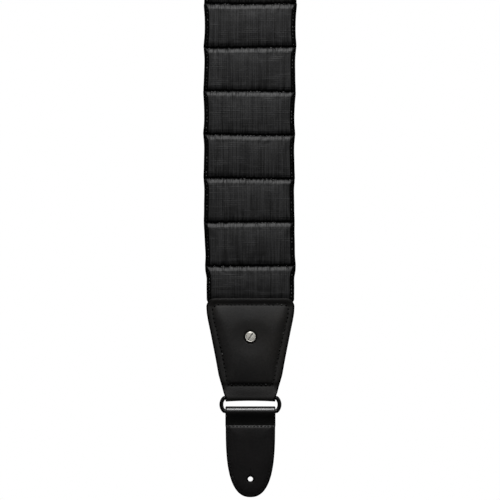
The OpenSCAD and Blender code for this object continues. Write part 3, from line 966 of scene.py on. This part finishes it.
def yoke_field(u, v, padding, at_rivet):
    """How far the leather stands proud over its padding, and how deep the stitches pull it in."""
    flat = np.stack([u, v], axis=-1)
    to_stitches = segment_distance(flat, STITCH_LOOP)
    within = inside(flat, STITCH_LOOP)
    to_side = np.interp(v, [STITCH_LOW, 17, 26, 76, STITCH_HIGH], [20.3, 22.4, 23.6, 34.9, 35.0]) - np.abs(u)
    slopes = smooth_min(smooth_min(to_side / 11, (v - STITCH_LOW) / 25, 0.3), (STITCH_HIGH - v) / 26, 0.3)
    field = np.where(within, padding * (0.1 + 0.9 * bevel(slopes, 1.0, 2.0)), 0.0)
    to_rivet = np.hypot(u, v - RIVET_H)
    pressed = 1 - smoothstep(to_rivet, RIVET_R, 21.0)
    cloth = 0.1 * ripples(flat, (18, 45), 7, 11) * within
    groove = 0.45 * np.exp(-(to_stitches / 0.95) ** 2)
    gap = 0.5 * np.exp(-((to_rivet - RIVET_R - 0.3) / 0.5) ** 2)
    return (field + cloth) * (1 - pressed) + at_rivet * pressed - groove - gap


def yoke_middle(v):
    """Distance of the leather's mid-surface from the centre plane, at height v."""
    flat = CORE_HALF + YOKE_T / 2
    near_bar = np.interp(v, [0, 11.6, 15], [FOLD_R - flat, -1.25, 0])
    flare = 3.0 * np.clip((v - 87.0) / 7.5, 0, 1) ** 1.3
    return flat + near_bar + flare


def edge_dip(v, d):
    """Outside the stitches the two leathers are drawn together. The top edge is skived."""
    reach = smoothstep(v, 3, 10) * (1 - smoothstep(v, 76, 84))
    skived = 0.9 * smoothstep(v, 87, 91) * (1 - smoothstep(d, 0.0, 1.4))
    return 1.25 * reach * (1 - smoothstep(d, 0.0, 3.6)) + skived


def yoke_front_place(centre_z, up):
    """Turns a flat (u, v, n) of the folded leather into points. v below 0 runs round the bar."""
    turn_len = math.pi * FOLD_R

    def place(u, v, n):
        angle = np.clip(-v / FOLD_R, 0, math.pi)
        straight = v >= 0
        behind = v < -turn_len
        h = np.where(straight, v, np.where(behind, -v - turn_len, 0.0))
        reach = np.where(straight | behind, yoke_middle(np.maximum(h, 0)), FOLD_R) + n
        y = -reach * np.cos(angle)
        h = h - np.where(straight | behind, 0.0, reach * np.sin(angle))
        return np.stack([u, CHAIN_Y + y, centre_z + up * h], axis=-1)

    return place


def make_yoke(prefix, bar_z, up):
    """A yoke's leathers, rivet and stitching. up is 1 where the pad is above the bar."""
    body = prefix + "_yoke"
    place = yoke_front_place(bar_z, up)
    fold_end = -math.pi * FOLD_R - 13.0

    def field(u, v):
        return np.where(v > 8, yoke_field(u, v, FRONT_SWELL, PADDING_T), 0.0)

    def at_fold(v):
        height = np.where(v > 0, v, np.where(v < -math.pi * FOLD_R, -v - math.pi * FOLD_R, 0.0))
        return 1 - smoothstep(height, 0, 8)

    def front(u, v, d):
        thinned = 0.3 + 0.75 * (u / FOLD_HALF) ** 2
        return (YOKE_T / 2 + field(u, v) - edge_dip(v, d)) * (1 - at_fold(v)) + thinned * at_fold(v)

    def inner(u, v, d):
        flat = -YOKE_T / 2 + np.maximum(field(u, v), 0) * 0.95 - edge_dip(v, d)
        clear_of_ring = 0.6 * smoothstep(np.abs(u), 22.5, 24.5) - FOLD_T / 2
        return flat * (1 - at_fold(v)) + clear_of_ring * at_fold(v)

    # Painted shadow: a dark ring in the leather's colour round the screw head, centred a little below it.
    def shadow_round_rivet(u, v):
        return 1 - smoothstep(np.hypot(u, v - RIVET_H + up * 0.3), RIVET_R + 0.6, RIVET_R + 1.2)

    hole = arc_points((0, RIVET_H), 2.6, 360, 15, 24)
    leather = slab(prefix + "_yoke_leather_front", yoke_outline(fold_end), place, front, inner,
                   LEATHER, holes=[hole], painted_shadow=shadow_round_rivet)
    place_piece(leather, body, "strap_leather", prefix + "_yoke_front")

    def back_place(u, v, n):
        return np.stack([u, CHAIN_Y + yoke_middle(v) + n, bar_z + up * v], axis=-1)

    def back_face(u, v, d):
        return YOKE_T / 2 + yoke_field(u, v, BACK_SWELL, 0.0) - edge_dip(v, d)

    def back_inner(u, v, d):
        return -YOKE_T / 2 + np.maximum(yoke_field(u, v, BACK_SWELL, 0.0), 0) - edge_dip(v, d)

    backing = slab(prefix + "_yoke_leather_back", yoke_outline(14.3), back_place, back_face, back_inner,
                   BACK_LEATHER, holes=[hole])
    place_piece(backing, body, "strap_leather", prefix + "_yoke_back")

    loop = resample(STITCH_LOOP, 1.0)
    loop = np.vstack([loop, loop[:1]])
    rows = []
    for side in (-1, 1):
        keep = np.ones(len(loop), bool) if side < 0 else loop[:, 1] > 15.5
        u, v = loop[keep, 0], loop[keep, 1]
        lift = yoke_field(u, v, FRONT_SWELL, PADDING_T) if side < 0 else yoke_field(u, v, BACK_SWELL, 0.0)
        y = CHAIN_Y + side * (yoke_middle(v) + YOKE_T / 2 + lift)
        path = np.stack([u, y, bar_z + up * v], axis=-1)
        rows.append(stitch_row(f"{prefix}_row_{side}", path, (0, side, 0), 4.0, 2.7, 0.7, THREAD, sink=0.4))
    u = np.linspace(-FOLD_HALF + 3, FOLD_HALF - 3, 60)
    v = np.full_like(u, fold_end + 3.2)
    path = place(u, v, np.full_like(u, YOKE_T / 2))
    rows.append(stitch_row(prefix + "_row_fold", path, (0, 1, 0), 3.7, 2.7, 0.4, THREAD))
    place_piece(join(rows, prefix + "_yoke_stitches"), body, "strap_leather")
    make_yoke_padding(prefix, body, field, place)
    make_rivet(prefix, body, bar_z + up * RIVET_H)


def make_yoke_padding(prefix, body, field, place):
    """The foam between the stiffener and the front leather."""
    outline = mirrored([(18.0, 15.5), (20.6, 21.0), (26.0, 48.0), (31.0, 72.0), (30.0, 80.0)])

    def front(u, v, d):
        return -YOKE_T / 2 + np.maximum(field(u, v) * 0.95 - 0.1, 0.1)

    def back(u, v, d):
        return np.full_like(u, -YOKE_T / 2 + 0.02)

    foam = slab(prefix + "_yoke_foam", outline, place, front, back, FOAM, spacing=2.5, edge=0.6,
                holes=[arc_points((0, RIVET_H), 2.7, 360, 15, 24)])
    place_piece(foam, body, "foam", prefix + "_yoke_padding")


def make_rivet(prefix, body, z):
    """A slotted screw in front and its barrel nut's flat head behind."""
    low, high = box_mm(prefix + "_rivet_screw")
    seat = low.y + SCREW_HEAD_T
    face = low.y
    radius = (high.x - low.x) / 2
    rings = np.concatenate([np.linspace(0.2, 3.9, 26), np.linspace(4.05, radius, 12)])
    turn = np.linspace(0, 2 * np.pi, 144, endpoint=False)
    r, a = np.meshgrid(rings, turn, indexing="ij")
    slope = math.radians(SCREW_ANGLE)
    above_slot = -r * np.cos(a) * math.sin(slope) + r * np.sin(a) * math.cos(slope)
    rim_drop = 0.9 * np.clip((r - 4.6) / (radius - 4.6), 0, 1) ** 2
    groove = 0.1 * np.exp(-((r - 3.95) / 0.16) ** 2)
    within = 1 - smoothstep(r, 3.6, 3.9)
    slot = 0.6 * (1 - smoothstep(np.abs(above_slot), 0.36, 0.6)) * within
    # Painted light and shade in the screw's colour: the inner face darker as painted shade, a painted shadow
    # along the upper side of the slot and a painted highlight on the wall below it.
    shaded = np.exp(-((above_slot - 0.35) / 0.45) ** 2)
    lit = np.exp(-((above_slot + 0.65) / 0.4) ** 2)
    painted_shade = within * (0.38 + 0.4 * shaded - 0.5 * lit).clip(0, 1)
    y = face + 0.1 * (r / radius) ** 2 + rim_drop + groove + slot
    y = np.minimum(y, face + 1.25)
    points = [(0, face + 0.75, z)]
    points += list(np.stack([r * np.cos(a), y, z + r * np.sin(a)], axis=-1).reshape(-1, 3))
    for depth, width in ((seat - 0.05, radius), (seat, radius - 0.1), (seat, 1.5), (high.y, 1.5)):
        points += [(width * math.cos(b), depth, z + width * math.sin(b)) for b in turn]
    points.append((0, high.y, z))
    rows = len(rings) + 4
    faces = grid_faces(rows, len(turn), start=1, wrap=True)
    last = len(points) - 1
    faces += fan_faces(last, len(turn))
    screw = make_object(prefix + "_slotted_screw", points, faces, NICKEL)
    # Carries the painted light and shade to the nickel material.
    painted_shade_values = np.zeros(len(points))
    painted_shade_values[1:1 + painted_shade.size] = painted_shade.reshape(-1)
    screw.data.attributes.new("painted_shade", "FLOAT", "POINT").data.foreach_set("value", painted_shade_values)
    POLISHED.objects.link(screw)
    place_piece(screw, body, "nickel", prefix + "_rivet_screw")

    low, high = box_mm(prefix + "_rivet_post")
    seat, top = high.y - POST_HEAD_T, high.y
    rim = (high.x - low.x) / 2
    profile = [(0, top + 0.15), (2.5, top + 0.1), (rim - 1.0, top - 0.1), (rim - 0.3, top - 0.45),
               (rim, top - 0.9), (rim, seat), (2.5, seat), (2.5, low.y), (0, low.y)]
    post = lathe(prefix + "_barrel_nut", profile, (0, 0, z), 64, NICKEL)
    POLISHED.objects.link(post)
    place_piece(post, body, "nickel", prefix + "_rivet_post")


make_yoke("lower", LOWER_BAR_Z, 1)
make_yoke("upper", UPPER_YOKE_Z, -1)


# ---------------------------------------------------------------- rings

def make_ring(prefix, bar_z):
    """Round wire bent to a loop with bulging ends."""
    half_bar, corner_r, corner_turn = 23.9, 2.2, 50
    turn = 90 - corner_turn
    cos_turn = math.cos(math.radians(corner_turn))
    end_r = (RING_GAP / 2 - corner_r * (1 - cos_turn)) / cos_turn
    end_x = half_bar + (corner_r - end_r) * math.cos(math.radians(turn))
    right = [(x, 0) for x in np.linspace(0, half_bar, 16, endpoint=False)]
    right += arc_points((half_bar, -corner_r), corner_r, 90, turn, 8)[:-1]
    right += arc_points((end_x, -RING_GAP / 2), end_r, turn, -turn, 22)[:-1]
    right += arc_points((half_bar, -RING_GAP + corner_r), corner_r, -turn, -90, 8)
    right += [(x, -RING_GAP) for x in np.linspace(half_bar, 0, 16)[1:]]
    loop = right + [(-x, z) for x, z in reversed(right[1:-1])]
    path = [(x, CHAIN_Y, bar_z + z) for x, z in loop]
    points, faces = tube_mesh(path, WIRE_R, 24)
    ring = make_object(prefix + "_wire_ring", points, faces, ENAMEL)
    place_piece(ring, prefix + "_ring", "black_wire", prefix + "_ring")


make_ring("lower", LOWER_BAR_Z)
make_ring("upper", UPPER_BAR_Z)


# ---------------------------------------------------------------- lower tab

TAB_LOW, TAB_HIGH = box_mm("tab_front")
TAB_HALF = TAB_HIGH.x
TAB_TIP = TAB_BAR_Z - TAB_LOW.z
TAB_START = TAB_BAR_Z - TAB_HIGH.z
TAB_ROUND = 78.5
TAB_TAPER = 3.5
BAR_TO_HOLE = 64.4
HOLE_R = 2.4
STRIP_T = 1.5
STRIP_FOLD_T = 2.8
TAB_T = 1.4
TAB_SEWN = 2.7          # distance of the tabs' stitching from their edge
TAB_STITCH = {"pitch": 3.3, "length": 2.3, "radius": 0.36, "material": THREAD, "sink": 0.3}


def tab_half_width(v, inset=0.0):
    """Half width of a tab at v below the bar, narrowing to a blunt tip."""
    along = np.clip((v - (TAB_TIP - TAB_ROUND)) / (TAB_ROUND - inset), 0, 1)
    return (TAB_HALF - inset) * (1 - along ** TAB_TAPER) ** 0.43


def tab_outline(start):
    """A tab's outline below the bar, v downwards."""
    turn = np.linspace(0, math.pi / 2, 40)
    along = TAB_TIP - TAB_ROUND * (1 - np.sin(turn) ** (2 / TAB_TAPER))
    side = [(float(tab_half_width(v)), float(v)) for v in along if v > start + 1.5]
    corner = float(tab_half_width(start + 0.8))
    right = [(corner - 0.8, start), (corner, start + 0.8)] + side
    return right + [(-u, v) for u, v in reversed(right[:-1])]


def slit_points(hole_v):
    """Points that sharpen the closed slit on the strap side of the hole."""
    return [(u, hole_v - HOLE_R - 1.6 - v) for v in np.arange(0, 8, 0.6)
            for u in (-0.7, -0.25, 0.0, 0.25, 0.7)]


def tab_relief(u, v, d, swell):
    """Height of a tab's face: swelling field, sewn groove, drawn-in edge and closed slit."""
    groove = 0.2 * np.exp(-((d - TAB_SEWN) / 0.8) ** 2)
    field = swell * crown(d - TAB_SEWN, 14.0, 2.2, 0.9)
    edge = 0.3 * (1 - smoothstep(d, 0.0, 2.6))
    slit_v = BAR_TO_HOLE - HOLE_R - v
    slit = 0.35 * np.exp(-(u / 0.22) ** 2) * smoothstep(slit_v, -0.5, 0.3) * (1 - smoothstep(slit_v, 5, 8))
    soft = 0.1 * ripples(np.stack([u, v], axis=-1), (16, 40), 6, 21)
    return field + soft - groove - edge - slit


def make_tab():
    hole = arc_points((0, BAR_TO_HOLE), HOLE_R, 360, 10, 36)
    outline = tab_outline(TAB_START)
    sewn_outline = tab_outline(TAB_START - 1.9)
    for side, name, material in ((-1, "front", TAB_LEATHER), (1, "back", BACK_LEATHER)):
        swell = 0.7 if side < 0 else 0.3

        def place(u, v, n):
            return np.stack([u, CHAIN_Y + side * (STRIP_T + TAB_T / 2 + n), TAB_BAR_Z - v], axis=-1)

        def outer(u, v, d):
            near_hole = np.hypot(u, v - BAR_TO_HOLE)
            rim = segment_distance(np.stack([u, v], axis=-1), np.array(sewn_outline))
            relief = tab_relief(u, v, rim, swell)
            pressed = 0.25 * np.exp(-((near_hole - HOLE_R) / 1.6) ** 2)
            skived = 0.55 * (1 - smoothstep(v - TAB_START, 0, 1.4))
            return TAB_T / 2 + relief - pressed - skived

        def inner(u, v, d):
            return np.full_like(u, -TAB_T / 2)

        leather = slab("tab_leather_" + name, outline, place, outer, inner, material, holes=[hole],
                       spacing=1.1, extra=slit_points(BAR_TO_HOLE))
        place_piece(leather, "tab", "strap_leather", "tab_" + name)

        loop = offset_loop(resample(sewn_outline, 1.0), TAB_SEWN)
        u, v = loop[:, 0], loop[:, 1]
        rim = np.full_like(u, TAB_SEWN)
        lift = TAB_T / 2 + tab_relief(u, v, rim, swell)
        loop_path = place(u, v, lift)
        loop_path = np.vstack([loop_path, loop_path[:1]])
        row = stitch_row("tab_stitches_" + name, loop_path, (0, side, 0), **TAB_STITCH)
        place_piece(row, "tab", "strap_leather")

    make_tab_strip()


def make_tab_strip():
    """Glossy strip: up inside the tab, round the ring's bar and down again behind."""
    radius = WIRE_R + CLEAR + STRIP_FOLD_T / 2
    turn_len = math.pi * radius
    half_exposed = 23.8
    reach = TAB_TIP - 3.0

    def half_width(v):
        inner = tab_half_width(v, 2.6)
        return inner + (half_exposed - inner) * (1 - smoothstep(v, TAB_START + 1, TAB_START + 5))

    stations = np.concatenate([np.linspace(0, TAB_START + 6, 16), np.linspace(TAB_START + 8, reach, 36)])
    leg = [(float(half_width(v)), float(v)) for v in stations]
    mid = [(half_exposed, -turn_len / 2)]
    behind = [(w, -turn_len - v) for w, v in leg]
    right = list(reversed(behind)) + mid + leg
    outline = mirrored([(w, -v) for w, v in right])
    holes = [arc_points((0, -BAR_TO_HOLE), HOLE_R + 0.05, 360, 15, 24),
             arc_points((0, BAR_TO_HOLE + turn_len), HOLE_R + 0.05, 360, 15, 24)]

    def place(u, flat_v, n):
        v = -flat_v
        angle = np.clip(-v / radius, 0, math.pi)
        straight, back_leg = v >= 0, v < -turn_len
        down = np.where(straight, v, np.where(back_leg, -v - turn_len, 0.0))
        middle = STRIP_T / 2 + (radius - STRIP_T / 2) * (1 - smoothstep(down, 0, 14))
        distance = np.where(straight | back_leg, middle, radius) + n
        y = -distance * np.cos(angle)
        height = np.where(straight | back_leg, -down, distance * np.sin(angle))
        return np.stack([u, CHAIN_Y + y, TAB_BAR_Z + height], axis=-1)

    def half_thickness(flat_v):
        down = np.where(flat_v <= 0, -flat_v, np.maximum(flat_v - turn_len, 0.0))
        return STRIP_T / 2 - 0.02 + (STRIP_FOLD_T - STRIP_T) / 2 * (1 - smoothstep(down, 0, 7))

    def front(u, v, d):
        return half_thickness(v) - 0.15 * (1 - smoothstep(d, 0, 1.2))

    def back(u, v, d):
        return -half_thickness(v)

    strip = slab("tab_fold_strip", outline, place, front, back, LACQUER, holes=holes, spacing=1.2)
    place_piece(strip, "tab", "lacquered_leather", "tab_strip")


make_tab()


# ---------------------------------------------------------------- webbing and slider

WEB_LOW, WEB_HIGH = box_mm("webbing_main")
WEB_T = WEB_HIGH.y - WEB_LOW.y
WEB_HALF = WEB_HIGH.x
LOOP_R = WIRE_R + CLEAR + WEB_T / 2


def webbing_strip(name, path, thickness, body, *replaced, half=WEB_HALF):
    """Woven tape along a path of (y, z) points: thick selvedges, slightly hollow between."""
    across = np.concatenate([np.linspace(-1, -0.86, 6), np.linspace(-0.8, 0.8, 33), np.linspace(0.86, 1, 6)])
    edge = 1 - np.abs(across)
    cover = np.sqrt(np.clip(1 - (1 - np.clip(edge * half / 0.7, 0, 1)) ** 2, 0, 1))
    body_t = 1 - 0.12 * smoothstep(edge * half, 1.5, 3.0)
    rib = 0.02 * np.cos(across * half * 2 * np.pi / 2.4)
    half_t = np.maximum(thickness / 2 * cover * body_t + rib * cover, 0.02)
    path = np.asarray(path, float)
    along = np.gradient(path, axis=0)
    along /= np.linalg.norm(along, axis=1)[:, None]
    normal = np.stack([along[:, 1], -along[:, 0]], axis=1)
    outline = [(x, h) for x, h in zip(across * half, half_t)]
    outline += [(x, -h) for x, h in zip(across[::-1] * half, half_t[::-1])]
    points = [(x, y + n[0] * h, z + n[1] * h) for (y, z), n in zip(path, normal) for x, h in outline]
    sides = len(outline)
    faces = grid_faces(len(path), sides, wrap=True)
    faces += end_faces(0, len(path), sides)
    piece = make_object(name, points, faces, WEBBING)
    return place_piece(piece, body, "webbing", *replaced)


def straight_path(y, top, bottom, step=6.0):
    return [(y, z) for z in np.linspace(top, bottom, max(2, int(abs(top - bottom) / step)))]


def make_webbing():
    """Fixed run, sliding run, the turn round the ring and the return."""
    webbing_strip("webbing_fixed_run", straight_path(0, WEB_HIGH.z - 1, UPPER_BAR_Z + 1), WEB_T - 0.02,
                  "top_tab", "webbing_main")
    overlap = 6.0
    top = box_mm("top_tab_front")[0].z - overlap
    webbing_strip("webbing_sliding_run", straight_path(0, top, UPPER_BAR_Z), WEB_T - 0.14,
                  "ring_loop", half=WEB_HALF - 0.06)
    turn = [(CHAIN_Y - LOOP_R * math.cos(a), UPPER_BAR_Z - LOOP_R * math.sin(a))
            for a in np.linspace(0, math.pi, 25)]
    webbing_strip("webbing_turn", [(0.0, UPPER_BAR_Z + 1.5)] + turn + [(CHAIN_Y + LOOP_R, UPPER_BAR_Z + 1.5)],
                  WEB_T - 0.06, "ring_loop", "webbing_loop")
    low, high = box_mm("webbing_return")
    back = webbing_strip("webbing_return_run", straight_path((low.y + high.y) / 2, high.z, low.z, 4.0),
                         WEB_T - 0.02, "ring_loop", "webbing_return")
    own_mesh(back)


make_webbing()


def make_slider():
    low, high = box_mm("slider_pin")
    pin_y, pin_z = (low.y + high.y) / 2, (low.z + high.z) / 2
    pin_r = (high.z - low.z) / 2
    turn_r = pin_r + CLEAR + WEB_T / 2
    turn = [(pin_y + turn_r * math.cos(a), pin_z + turn_r * math.sin(a)) for a in np.linspace(0, math.pi, 21)]
    path = [(pin_y + turn_r, pin_z - 1.2)] + turn
    path += [(pin_y - turn_r + 0.02, z) for z in np.linspace(pin_z - 1.5, pin_z - 16, 6)]
    webbing_strip("webbing_pin_turn", path, WEB_T - 0.08, "slider", "webbing_end_loop")

    set_material(bpy.data.objects["slider_pin"].data, STEEL)

    source = frame["nodes"]["slider_frame"]
    shape = bmesh.new()
    shape.from_mesh(source.data)
    bmesh.ops.remove_doubles(shape, verts=shape.verts, dist=1e-6)
    bmesh.ops.dissolve_limit(shape, angle_limit=math.radians(2), verts=shape.verts, edges=shape.edges)
    sharp = [e for e in shape.edges if e.is_manifold and e.calc_face_angle() > math.radians(40)]
    bmesh.ops.bevel(shape, geom=sharp, offset=0.7 * MM, segments=3, profile=0.5, affect="EDGES",
                    clamp_overlap=True)
    mesh = bpy.data.meshes.new("tri_glide_frame")
    shape.to_mesh(mesh)
    shape.free()
    set_material(mesh, PLASTIC)
    piece = bpy.data.objects.new("tri_glide_frame", mesh)
    SCENE.collection.objects.link(piece)
    place_piece(piece, "slider", "slider_plastic", "slider_frame")


make_slider()


# ---------------------------------------------------------------- top tab

TOP_SWELL = 0.35


def make_top_tab():
    low, high = box_mm("top_tab_front")
    thick = high.y - low.y
    outline = [(u, v - BAR_TO_HOLE) for u, v in tab_outline(BAR_TO_HOLE + low.z)]
    hole = arc_points((0, 0), HOLE_R, 360, 10, 36)
    rows = []
    for side, name, material in ((-1, "front", TAB_LEATHER), (1, "back", BACK_LEATHER)):
        middle = WEB_T / 2 + CLEAR + thick / 2

        def place(u, v, n):
            return np.stack([u, side * (middle + n), v], axis=-1)

        def outer(u, v, d):
            rim = segment_distance(np.stack([u, v], axis=-1), np.array(outline))
            return thick / 2 + tab_relief(u, v + BAR_TO_HOLE, rim, TOP_SWELL)

        def inner(u, v, d):
            return np.full_like(u, -thick / 2)

        leather = slab("top_tab_leather_" + name, outline, place, outer, inner, material, holes=[hole],
                       spacing=1.2, extra=slit_points(0))
        place_piece(leather, "top_tab", "strap_leather", "top_tab_" + name)

        loop = offset_loop(resample(outline, 1.0), TAB_SEWN)
        paths = [np.vstack([loop, loop[:1]])]
        low_v, high_v = -46.5, -29.5
        corners = [(-17, low_v), (17, low_v), (17, high_v), (-17, high_v), (-17, low_v)]
        paths.append(resample(corners, 1.0, closed=False))
        paths.append(resample([(-17, low_v), (17, high_v)], 1.0, closed=False))
        paths.append(resample([(17, low_v), (-17, high_v)], 1.0, closed=False))
        for number, flat in enumerate(paths):
            u, v = flat[:, 0], flat[:, 1]
            rim = segment_distance(flat, np.array(outline))
            lift = thick / 2 + tab_relief(u, v + BAR_TO_HOLE, rim, TOP_SWELL)
            rows.append(stitch_row(f"top_row_{name}_{number}", place(u, v, lift), (0, side, 0), **TAB_STITCH))
    place_piece(join(rows, "top_tab_stitches"), "top_tab", "strap_leather")


make_top_tab()


# ---------------------------------------------------------------- CAD pieces that stay

for name in ("upper_yoke_core", "lower_yoke_core", "top_tab_filler"):
    set_material(frame["nodes"][name].data, BOARD)


# ---------------------------------------------------------------- studio

def make_world():
    """White to look at. As light it is dim above and dimmer below."""
    world = bpy.data.worlds.new("studio")
    world.use_nodes = True
    tree = world.node_tree
    tree.nodes.clear()
    direction = node(tree, "TexCoord").outputs["Generated"]
    up = node(tree, "SeparateXYZ", {"Vector": direction}).outputs["Z"]
    light = colour_ramp(tree, remap(tree, up, -1.0),
                        [(0.0, grey(0.005)), (0.45, grey(0.01)), (0.52, grey(0.05)), (0.6, grey(0.1)),
                         (1.0, grey(0.2))])
    seen = node(tree, "Background", {"Color": (1, 1, 1, 1), "Strength": 1.0}).outputs[0]
    lit = node(tree, "Background", {"Color": light, "Strength": 1.0}).outputs[0]
    ray = node(tree, "LightPath").outputs["Is Camera Ray"]
    mixed = node(tree, "MixShader", {0: ray, 1: lit, 2: seen}).outputs[0]
    node(tree, "OutputWorld", {"Surface": mixed})
    SCENE.world = world


def make_floor():
    material, tree, shader, place = new_material("floor")
    cloud = stretched_noise(tree, place, (0.002, 0.002, 0.002), 2)
    set_inputs(tree, shader, {"Base Color": colour_ramp(tree, cloud, [(0.3, grey(0.82)), (0.7, grey(0.86))]),
                              "Roughness": 0.9})
    turn = np.linspace(0, 2 * np.pi, 96, endpoint=False)
    level = CAD_BOUNDS[0].z / MM - 220
    points = [(1100 * math.cos(a), 1100 * math.sin(a), level) for a in turn]
    floor = make_object("floor", points, [tuple(range(96))], material)
    floor.visible_diffuse = False
    floor.visible_glossy = False


make_world()
make_floor()
make_area_light("key", (-0.1, -1.54, 1.02), (0, 0, -0.95), (1.0, 0.6), 36)
make_area_light("front", (0.3, -2.3, 0.0), (0, 0, -0.95), (1.0, 0.7), 3)
for made in SCENE.objects:
    if made.type == "MESH" and made.active_material not in (LACQUER, ENAMEL):
        REAR_LIT.objects.link(made)
make_area_light("back", (0.4, 2.3, 0.6), (0, 0, -0.95), (1.2, 0.8), 22, REAR_LIT)
make_area_light("card", (0.2, -2.4, -0.5), (0, 0, -0.95), (1.6, 1.6), 9, POLISHED)
SCENE.view_settings.view_transform = "Standard"
